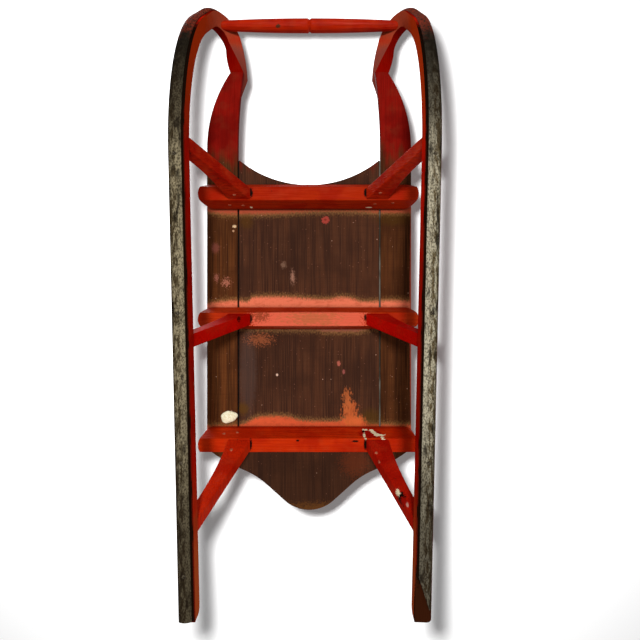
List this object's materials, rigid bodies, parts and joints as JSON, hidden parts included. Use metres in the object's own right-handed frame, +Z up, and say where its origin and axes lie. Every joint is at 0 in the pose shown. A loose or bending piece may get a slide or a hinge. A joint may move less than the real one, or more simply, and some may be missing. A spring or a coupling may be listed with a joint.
{
  "type": "snow sled",
  "caption": "Child's bentwood snow sled: a board deck on bevelled cleats and splayed knees, over iron-shod runners that curl back to the deck's horns and carry a turned cross bar.",
  "frame": {"origin": "middle of the sled's length and width, on the floor under the iron shoes", "axes": "+Z up, -Y forwards to the curls and the cross bar, +X to the rider's left"},
  "size_m": [0.3506, 0.8618, 0.2225],
  "materials": {
    "red_paint": "worn oil paint",
    "deck_wood": "bare dark underside, red top",
    "iron": "weathered, part painted"
  },
  "bodies": {
    "root": {"deck_board_centre": "deck_wood", "deck_board_left": "deck_wood", "deck_board_right": "deck_wood", "cleat_front": "red_paint", "cleat_middle": "red_paint", "cleat_rear": "red_paint", "cross_bar": "red_paint", "runner_left": "red_paint", "runner_right": "red_paint", "knee_front_left": "red_paint", "knee_front_right": "red_paint", "knee_middle_left": "red_paint", "knee_middle_right": "red_paint", "knee_rear_left": "red_paint", "knee_rear_right": "red_paint", "shoe_left": "iron", "shoe_right": "iron"}
  },
  "joints": []
}
